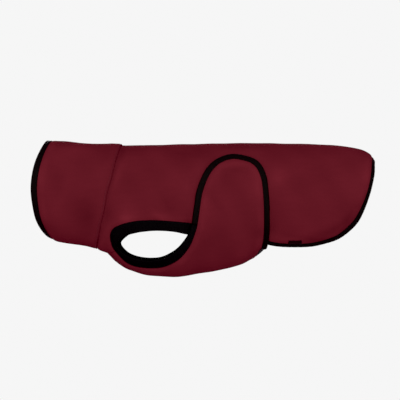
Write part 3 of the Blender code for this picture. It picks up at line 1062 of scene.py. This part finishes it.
hem_line = across_middle(trimmed(edge_run("tail", "band_hidden_end"), start=False))
hem_widths = both_sides(HEM_WIDTHS, len(hem_line))
hem_tape = binding("hem_tape", hem_line, hem_widths, no_lift, back_folds)
belly_line = across_middle(trimmed(edge_run("band_top", "belly"), end=False))
wing_widths = both_sides(WING_WIDTHS, len(belly_line))
belly_tape = binding("belly_tape", belly_line, wing_widths, belly_lift, wing_folds)
neck_ring = np.vstack([neck_line, other_side(neck_line)[-2:0:-1]])
neck_widths = neck_tape_width(neck_ring[:, 1])
neck_tape = binding("neck_tape", neck_ring, neck_widths, neck_lift, neck_folds, closed=True)

# %% [markdown]
# ## The leg bands
#
# Round each leg opening the binding is a wide band of rib knit, folded double like a cuff. Its
# ribs run across the band, so they are real ridges here, with four steps to each rib.

# %% The knitted bands
BAND_FOLD = [EdgePoint(*row) for row in [  # its folded edge, opposite points of the edge line
    ("band_hidden_end", 8.5, -158.9),
    ("leg_rear", -19.5, -156.0),
    ("leg_slope", -44.0, -151.0),
    ("leg_arch", -69.0, -149.1),
    ("leg_top", -92.0, -150.1),
    ("leg_crown", -111.0, -153.0),
    ("leg_corner", -129.0, -159.0),
    ("leg_front", -141.9, -170.8),
    ("chest", -138.7, -181.4),
    ("leg_low", -119.0, -194.8),
    ("leg_bottom", -93.0, -198.8),
    ("elbow", -71.3, -196.4),
    ("wing_root", -49.6, -186.7),
    ("wing_foot", -34.3, -173.2),
    ("wing_rise", -20.5, -153.0),
    ("band_top", -15.3, -136.0),
]]
RIB_LENGTH, RIB_HEIGHT = 2.4, 0.17
BAND_WIDTH = 16.0  # what the bands are cut for, folded
BAND_STEP = RIB_LENGTH / 4
BAND_TURN = (-180.0, -158.0)  # z over which the band goes from the belly panel to the back


def fold_opposite(reach):
    """Places on the band's folded edge, opposite places on the edge line."""
    ends = knots_of(BAND_FOLD)
    curve = through(ends, 2 * ends[0] - ends[1], 2 * ends[-1] - ends[-2], DENSE)
    marks = [MARKS[point.name] for point in BAND_FOLD]
    curve_marks = np.interp(np.arange(len(curve)) / DENSE, np.arange(len(marks)), marks)
    return at_reach(reach, curve_marks, curve)


# %% Sweeping the two bands
band_line = trimmed(edge_run("band_hidden_end", "band_top", BAND_STEP))
band_reach = MARKS["band_hidden_end"] + reach_along(band_line)
ribs = RIB_HEIGHT * np.cos(2 * np.pi * band_reach / RIB_LENGTH) - RIB_HEIGHT * 0.3
band_fold = fold_opposite(band_reach)
band_widths = np.linalg.norm(form(band_fold) - form(band_line), axis=1)
band_section = folded_section(band_widths, ribs)
print(f"the bands are {band_widths.min():.0f} to {band_widths.max():.0f} mm wide")


def band_folds(points):
    """The band hangs on the back panel first and on the belly panel after that."""
    below = 1 - ease(*BAND_TURN, points[:, 2])
    own_back, own_belly = back_folds(points), wing_folds(points)
    return own_back * (1 - below) + own_belly * below


def band_lift(reach):
    """The belly side of the band rises with the wing's layer."""
    return lambda x: belly_lift(x) * (reach > MARKS["leg_front"])[:, None]


def leg_band(side, line, section, reach, fold):
    name = f"leg_band_{side}"
    return sweep(name, line, section, band_lift(reach), band_folds, fold_edge=fold)


bands = [
    leg_band("left", band_line, band_section, band_reach, band_fold),
    leg_band(
        "right", carried_over(band_line), band_section[::-1], band_reach[::-1],
        carried_over(band_fold),
    ),
]

# %% [markdown]
# ## The tab
#
# A short loop of satin ribbon is sewn in above the hem's tape on the left flank. It is bare.

# %% A small folded tab
TAB_FROM, TAB_TO, TAB_HEIGHT = 151.5, 174.8, 8.2
hem_part = run("tail", "band_hidden_end", 400)[::-1]
tab_x = np.linspace(TAB_FROM, TAB_TO, 15)
tab_line = np.stack([tab_x, np.interp(tab_x, hem_part[:, 0], hem_part[:, 1])], -1)[::-1]
RibbonPoint = namedtuple("RibbonPoint", "down height inner_down inner_height")  # from its fold
RIBBON = [RibbonPoint(*row) for row in [
    (0.0, 0.0, 0.5, 0.0),
    (0.1, 0.35, 0.55, 0.1),
    (0.45, 0.6, 0.8, 0.12),
    (2.0, 0.68, 2.1, 0.14),
    (4.0, 0.66, 4.0, 0.14),
    (5.6, 0.6, 5.6, 0.13),
    (7.0, 0.5, 7.0, 0.1),
    (8.2, 0.4, 8.2, 0.08),
]]
TAB_DIP = 0.6  # its sewn end lies down on the cloth, against the tape


def ribbon_section(height, count):
    upper = np.array([(height - row.down, row.height) for row in RIBBON])
    inside = np.array([(height - row.inner_down, row.inner_height) for row in RIBBON])
    outer, inner = (np.vstack([(half * (1, -1))[:0:-1], half]) for half in (upper, inside))
    section = np.vstack([outer, inner[::-1]]) + (SEAM_GAP, CLOTH + 1.1)
    section[:, 1] -= TAB_DIP * ease(4.0, 1.0, section[:, 0])
    return np.repeat(section[None], count, 0)


tab = sweep(
    "ribbon_tab", tab_line, ribbon_section(TAB_HEIGHT, len(tab_line)), no_lift, back_folds,
    onto_cloth=True,
)

# %% [markdown]
# ## Stitches
#
# A row of black thread holds each tape, on both of its faces, and a burgundy row holds the neck
# down. One stitch is shaped from a small sphere, and then every row repeats it. It has
# only thirty faces, because the coat has nearly two thousand of them.

# %% One stitch, shaped from a sphere
STITCH_LENGTH, STITCH_PITCH, THREAD = 2.3, 3.0, 0.55
STITCH_DIVE = 0.12  # how far its ends go down into the cloth
bpy.ops.object.select_all(action="DESELECT")
bpy.ops.mesh.primitive_uv_sphere_add(segments=6, ring_count=5, radius=THREAD / 2 * MM)
one_stitch = bpy.context.object
bpy.ops.object.mode_set(mode="EDIT")
bpy.ops.mesh.select_all(action="SELECT")
bpy.ops.transform.rotate(value=math.pi / 2, orient_axis="Y", center_override=(0, 0, 0))
bpy.ops.transform.resize(value=(STITCH_LENGTH / THREAD, 1, 0.8))
bpy.ops.object.mode_set(mode="OBJECT")
stitch_points = np.array([v.co for v in one_stitch.data.vertices]) / MM
stitch_points[:, 2] -= STITCH_DIVE * (stitch_points[:, 0] / (STITCH_LENGTH / 2)) ** 2
stitch_faces = [list(face.vertices) for face in one_stitch.data.polygons]
bpy.data.objects.remove(one_stitch, do_unlink=True)
print(f"one stitch: {len(stitch_faces)} faces")

# %% Rows of stitches
BOTH_FACES = [(CLOTH / 2 + way * (STITCH_HEIGHT + 0.1), way) for way in (1, -1)]


def stitch_row(places, across, lift, folds, faces=BOTH_FACES):
    """Centres and axes of the stitches along a line, at a distance off it.

    faces gives the height above the form and the way out, for each face of the cloth."""
    track = slide(places, off_cloth(places) * across)
    reach = reach_along(track)
    count = int(reach[-1] / STITCH_PITCH)
    wanted = (np.arange(count) + 0.5) * reach[-1] / count
    track = at_reach(wanted, reach, track)
    base, up = form(track), outward(track)
    travel = unit(np.gradient(base, axis=0))
    rise = np.interp(wanted, reach, lift(places[:, 0])) + folds(base)
    return [(base + up * (rise + height)[:, None], travel, up * way) for height, way in faces]


def sew(name, rows):
    points, faces = [], []
    for centres, travel, up in rows:
        side = np.cross(up, travel)
        for centre, t, s, u in zip(centres, travel, side, up):
            start = len(points) * len(stitch_points)
            points.append(centre + stitch_points @ np.array([t, s, u]))
            faces += [[start + v for v in face] for face in stitch_faces]
    mesh = bpy.data.meshes.new(name)
    mesh.from_pydata((np.vstack(points) * MM).tolist(), [], faces)
    mesh.shade_smooth()
    print(f"{name}: {len(points)} stitches")
    return placed(name, mesh)


tape_thread = sew(
    "tape_stitches",
    stitch_row(hem_line, STITCH_ACROSS, no_lift, back_folds)
    + stitch_row(belly_line, STITCH_ACROSS, belly_lift, wing_folds)
    + stitch_row(np.vstack([neck_ring, neck_ring[:1]]), STITCH_ACROSS, neck_lift, neck_folds),
)
band_rows = []
for turned in (np.asarray, carried_over):
    for first, last, lift in (
        ("band_hidden_end", "leg_front", no_lift), ("chest", "band_top", belly_lift)
    ):
        band_rows += stitch_row(turned(edge_run(first, last)), STITCH_ACROSS, lift, band_folds)
band_thread = sew("band_stitches", band_rows)
neck_seam_ring = np.vstack([seam_line, other_side(seam_line)[-2::-1]])


def seam_press(points):
    return np.full(len(points), -NECK_PRESS)


neck_thread = sew(
    "neck_stitches",
    stitch_row(neck_seam_ring, NECK_STITCH, neck_lift, seam_press, faces=[(CLOTH - 0.45, 1)]),
)

# %% [markdown]
# ## Finishes
#
# Five real materials show: brushed polyester fleece, black nylon elastic, black rib knit, satin
# ribbon and polyester thread. The helpers below turn a printed colour into the renderer's linear
# values, add one node with its settings and links, and add the few nodes that every finish has.

# %% Helpers for materials


def linear(hex_colour):
    """An sRGB hex colour as linear RGBA."""
    channels = [(hex_colour >> shift & 255) / 255 for shift in (16, 8, 0)]
    return [c / 12.92 if c <= 0.04045 else ((c + 0.055) / 1.055) ** 2.4 for c in channels] + [1]


def add_node(tree, kind, settings=None, values=None, links=None):
    """Add a node; settings are its properties, values its sockets, links feed its sockets."""
    node = tree.nodes.new(kind)
    for key, value in (settings or {}).items():
        setattr(node, key, value)
    for socket, value in (values or {}).items():
        node.inputs[socket].default_value = value
    for socket, source in (links or {}).items():
        tree.links.new(source, node.inputs[socket])
    return node


def noise(tree, vector, size, detail, roughness=0.5):
    """Soft random spots of a given size, at places given by a vector."""
    values = {"Scale": 1 / size, "Detail": detail, "Roughness": roughness}
    return add_node(
        tree, "ShaderNodeTexNoise", values=values, links={"Vector": vector}
    ).outputs["Fac"]


def blended(tree, share, first, second):
    return add_node(
        tree, "ShaderNodeMix", values={"Factor": share}, links={"A": first, "B": second}
    ).outputs["Result"]


# %% Colour and relief, the two things that every finish sets


def colour_by(tree, shader, value, stops):
    """Colour the surface by a value, from rows of (value, colour), lowest first."""
    ramp = add_node(tree, "ShaderNodeValToRGB", links={"Fac": value})
    elements = ramp.color_ramp.elements
    for element, (position, colour) in zip(elements, (stops[0], stops[-1])):
        element.position, element.color = position, linear(colour)
    for position, colour in stops[1:-1]:
        elements.new(position).color = linear(colour)
    tree.links.new(ramp.outputs["Color"], shader.inputs["Base Color"])


def raise_by(tree, shader, height, strength, depth):
    bump = add_node(
        tree, "ShaderNodeBump", values={"Strength": strength, "Distance": depth},
        links={"Height": height},
    )
    tree.links.new(bump.outputs["Normal"], shader.inputs["Normal"])


def new_finish(name, **sockets):
    """A material with only its shader and output, and the shader's even values set."""
    made = bpy.data.materials.new(name)
    made.use_nodes = True
    shader = made.node_tree.nodes["Principled BSDF"]
    for socket, value in sockets.items():
        shader.inputs[socket.replace("_", " ")].default_value = value
    return made, made.node_tree, shader


# %% [markdown]
# ** Brushed fleece.** Polyester knit whose loops are raked up and sheared. The eye gets an even,
# matt colour with a fine pile, faint streaks where the nap lies one way or the other, and a dim
# bloom at grazing angles. Painted shade and light follow the folds as well: the colour is painted
# darker in their troughs and along the neck's seam, and lighter on their crests.

# %% Burgundy fleece
TUFT = 1.6 * MM  # a real one is finer; it is drawn as coarse as it needs to show
CLOUD = 60 * MM  # size of the broad patches where the dye took a little more or less
NAP_LONG, NAP_WIDE = 26 * MM, 7 * MM  # streaks where a hand has stroked the nap
SHADE_RANGE = 3.1  # millimetres of fold height over which the painted shade goes from darkest to lightest
BURGUNDY, BURGUNDY_DEEP, BURGUNDY_LIGHT, BLOOM = 0x5E242A, 0x4A1B20, 0x702C33, 0xB02038


def fleece_finish(name):
    made, tree, shader = new_finish(
        name, Roughness=0.95, Specular_IOR_Level=0.01, Sheen_Weight=0.01, Sheen_Roughness=0.5
    )
    shader.inputs["Sheen Tint"].default_value = linear(BLOOM)
    spot = add_node(tree, "ShaderNodeTexCoord").outputs
    along_nap = add_node(
        tree, "ShaderNodeMapping", links={"Vector": spot["UV"]},
        values={"Scale": (1 / NAP_LONG, 1 / NAP_WIDE, 1)},
    ).outputs["Vector"]
    nap_and_painted_shade = noise(tree, along_nap, 1.0, detail=3.0, roughness=0.55)
    tufts = noise(tree, spot["Object"], TUFT, detail=2.0, roughness=0.6)
    clouds = noise(tree, spot["Object"], CLOUD, detail=2.0)
    brushed = blended(tree, 0.5, blended(tree, 0.35, nap_and_painted_shade, clouds), tufts)
    # painted shade and light, read from the fold height: darker in the troughs and along the
    # neck's seam, lighter on the crests
    painted_shade_attribute = add_node(tree, "ShaderNodeAttribute", settings={"attribute_name": "nap_and_painted_shade"})
    painted_shade = add_node(
        tree, "ShaderNodeMapRange", values={"From Min": -SHADE_RANGE, "From Max": SHADE_RANGE},
        links={"Value": painted_shade_attribute.outputs["Fac"]},
    ).outputs["Result"]
    # the painted shade gives most of the tone, and the random streaks, patches and pile give the
    # rest
    tone = blended(tree, 0.3, painted_shade, brushed)
    colour_by(tree, shader, tone, [(0.1, BURGUNDY_DEEP), (0.5, BURGUNDY), (0.9, BURGUNDY_LIGHT)])
    raise_by(tree, shader, tufts, 0.35, 0.3 * MM)
    return made


fleece = fleece_finish("brushed polyester fleece, burgundy")

# %% [markdown]
# **Elastic tape.** Woven nylon over spandex. It is close to black with a low satin shine, and it
# has fine ribs across its width, about a millimetre apart.
#
# **Rib knit** is matt and looks deeper, because its loops trap the light. **Satin ribbon** is
# woven closer and is smoother, with a touch of wine in its dye. **Thread** is twisted, so it
# glints a little at each turn. All of them are ribs or turns across a length of cloth, so one
# function makes them, with their own spacing, roughness and depth.

# %% Black tape, black knit, threads and ribbon
TAPE_RIB, KNIT_RIB, RIBBON_RIB, THREAD_TWIST = 1.2 * MM, 0.8 * MM, 0.6 * MM, 0.5 * MM
FUZZ = 0.9 * MM  # size of the loose hairs on a yarn


def ribbed_finish(name, deep, light, roughness, specular, rib, strength):
    """A dark woven or knitted band with ribs across it, drawn on the piece's own UV map."""
    made, tree, shader = new_finish(name, Roughness=roughness, Specular_IOR_Level=specular)
    spot = add_node(tree, "ShaderNodeTexCoord").outputs
    ribs = add_node(
        tree, "ShaderNodeTexWave", settings={"bands_direction": "X"},
        values={"Scale": 2 * math.pi / rib / 20, "Distortion": 0.4, "Detail": 1.0},
        links={"Vector": spot["UV"]},
    )
    fuzz = noise(tree, spot["Object"], FUZZ, detail=2.0)
    relief = add_node(
        tree, "ShaderNodeMath", settings={"operation": "MULTIPLY_ADD"}, values={1: 0.5},
        links={0: fuzz, 2: ribs.outputs["Fac"]},
    ).outputs["Value"]
    colour_by(tree, shader, relief, [(0.0, deep), (1.0, light)])
    raise_by(tree, shader, relief, strength, 0.2 * MM)
    return made


tape_finish = ribbed_finish(
    "woven nylon elastic, black", 0x121311, 0x181816, 0.6, 0.025, TAPE_RIB, 0.4
)
knit_finish = ribbed_finish("rib knit, black", 0x131514, 0x171918, 0.9, 0.02, KNIT_RIB, 0.5)
ribbon_finish = ribbed_finish(
    "satin ribbon, near black", 0x191213, 0x221416, 0.5, 0.03, RIBBON_RIB, 0.25
)
black_thread = ribbed_finish(
    "polyester thread, black", 0x151617, 0x1C1D1E, 0.5, 0.06, THREAD_TWIST, 0.2
)
red_thread = ribbed_finish(
    "polyester thread, burgundy", 0x4C1C24, 0x6A2833, 0.45, 0.3, THREAD_TWIST, 0.2
)

# %% [markdown]
# ## Dressing the frame
#
# Each piece gets its finish and rides on the coat's one body. The solid that it stands for is
# hidden, and stitches stand for none.

# %% Dress each piece, and hide the solid that it stands for
Dressed = namedtuple("Dressed", "piece finish slot nodes")
DRESSED = [Dressed(*row) for row in [
    (neck, fleece, "fleece", ["neck_tube"]),
    (back, fleece, "fleece", ["back_panel"]),
    (belly, fleece, "fleece", ["belly_panel"]),
    (hem_tape, tape_finish, "tape", ["hem_binding"]),
    (belly_tape, tape_finish, "tape", ["belly_binding"]),
    (neck_tape, tape_finish, "tape", ["neck_binding"]),
    (bands[0], knit_finish, "knit", ["armhole_band_left"]),
    (bands[1], knit_finish, "knit", ["armhole_band_right"]),
    (tab, ribbon_finish, "tab", ["hem_tab"]),
    (tape_thread, black_thread, "tape", []),
    (band_thread, black_thread, "knit", []),
    (neck_thread, red_thread, "fleece", []),
]]
for piece, finish, slot_name, nodes in DRESSED:
    piece.data.materials.append(finish)
    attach(piece, "root")
    if nodes:
        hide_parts(*nodes)
print("dressed:", ", ".join(row.piece.name for row in DRESSED))

# %% [markdown]
# ## What the tapes and bands were cut to
#
# A maker cuts flat cloth. The cell below works out the flat width and length of each tape and
# band, all the way round, and keeps none of them.

# %% Flat sizes


def tape_cut(line, width, closed=False):
    """The flat width and length of a tape folded round a line of places."""
    return (2 * width + CLOTH) * MM, reach_along(line, closed)[-1] * MM


tape_cut(hem_line, HEM_TAPE)
tape_cut(belly_line, WING_TAPE)
tape_cut(neck_ring, NECK_TAPE, closed=True)
for band in bands:
    tape_cut(band_line, BAND_WIDTH)

# %% [markdown]
# ## Studio
#
# A pale cove, a box with rounded edges seen from inside, stands round the coat and reads as one
# even tone. The light is broad and soft: two lamps a little above, one on each side, with two
# weaker and broader ones below. So the coat stays even and darkens only where it curves away.

# %% The cove
PAPER, COVE_SIZE = 0xF6F6F6, 12.0  # in metres; its floor is low, for views from below
bpy.ops.object.select_all(action="DESELECT")
bpy.ops.mesh.primitive_cube_add(size=COVE_SIZE, location=(0, 0, 1.5))
cove = bpy.context.object
cove.name = "cove"
bpy.ops.object.transform_apply(location=True)
bpy.ops.object.mode_set(mode="EDIT")
bpy.ops.mesh.select_all(action="SELECT")
bpy.ops.mesh.bevel(offset=2.0, segments=6, affect="EDGES")
bpy.ops.mesh.flip_normals()
bpy.ops.object.mode_set(mode="OBJECT")
paper = bpy.data.materials.new("backdrop paper")
paper.use_nodes = True
paper.node_tree.nodes.clear()
glow = add_node(
    paper.node_tree, "ShaderNodeEmission", values={"Color": linear(PAPER), "Strength": 1.0}
)
add_node(
    paper.node_tree, "ShaderNodeOutputMaterial", links={"Surface": glow.outputs["Emission"]}
)
cove.data.materials.append(paper)
for ray in ("visible_diffuse", "visible_glossy", "visible_transmission", "visible_shadow"):
    setattr(cove, ray, False)

# %% Light
ROOM_LIGHT = 0xFFCBE7  # what comes back from the cloth itself has warmed it
world = bpy.data.worlds.new("soft room light")
bpy.context.scene.world = world
world.use_nodes = True
sky = world.node_tree.nodes["Background"]
sky.inputs["Color"].default_value = linear(ROOM_LIGHT)
sky.inputs["Strength"].default_value = 0.52


def soft_light(name, direction, strength, spread=28):
    """A broad, distant lamp. direction points to it, and spread is its width in degrees."""
    data = bpy.data.lights.new(name, "SUN")
    data.energy, data.angle = strength, math.radians(spread)
    placed(name, data).rotation_euler = Vector(direction).to_track_quat("Z", "Y").to_euler()


for side, name in ((-1, "in front"), (1, "behind")):
    soft_light(f"key {name}", (-0.1, side, 0.34), 1.54)
    soft_light(f"low fill {name}", (0.6, side, -0.5), 0.5, spread=60)

# Beside this much pale paper the eye sees black cloth as wholly black, and dark folds as a
# deeper red. A small black level does the same.
BLACK_LEVEL = 0.007
view = bpy.context.scene.view_settings
view.view_transform = "Standard"
view.use_curve_mapping = True
view.curve_mapping.black_level = (BLACK_LEVEL,) * 3
view.curve_mapping.update()

# %% [markdown]
# The camera looks straight at the left flank from two metres, far enough for an even outline.

# %% Camera
SENSOR, AWAY, VIEW_WIDTH = 36, 2000, 706  # it sees 706 mm across at the coat's middle
AIM_X, AIM_Z = -0.0009, -0.0966  # the middle of the view, in metres
bpy.ops.object.camera_add(location=(AIM_X, -AWAY * MM, AIM_Z), rotation=(math.pi / 2, 0, 0))
camera = bpy.context.object
camera.data.sensor_width = SENSOR
camera.data.lens = SENSOR * AWAY / VIEW_WIDTH
bpy.context.scene.camera = camera
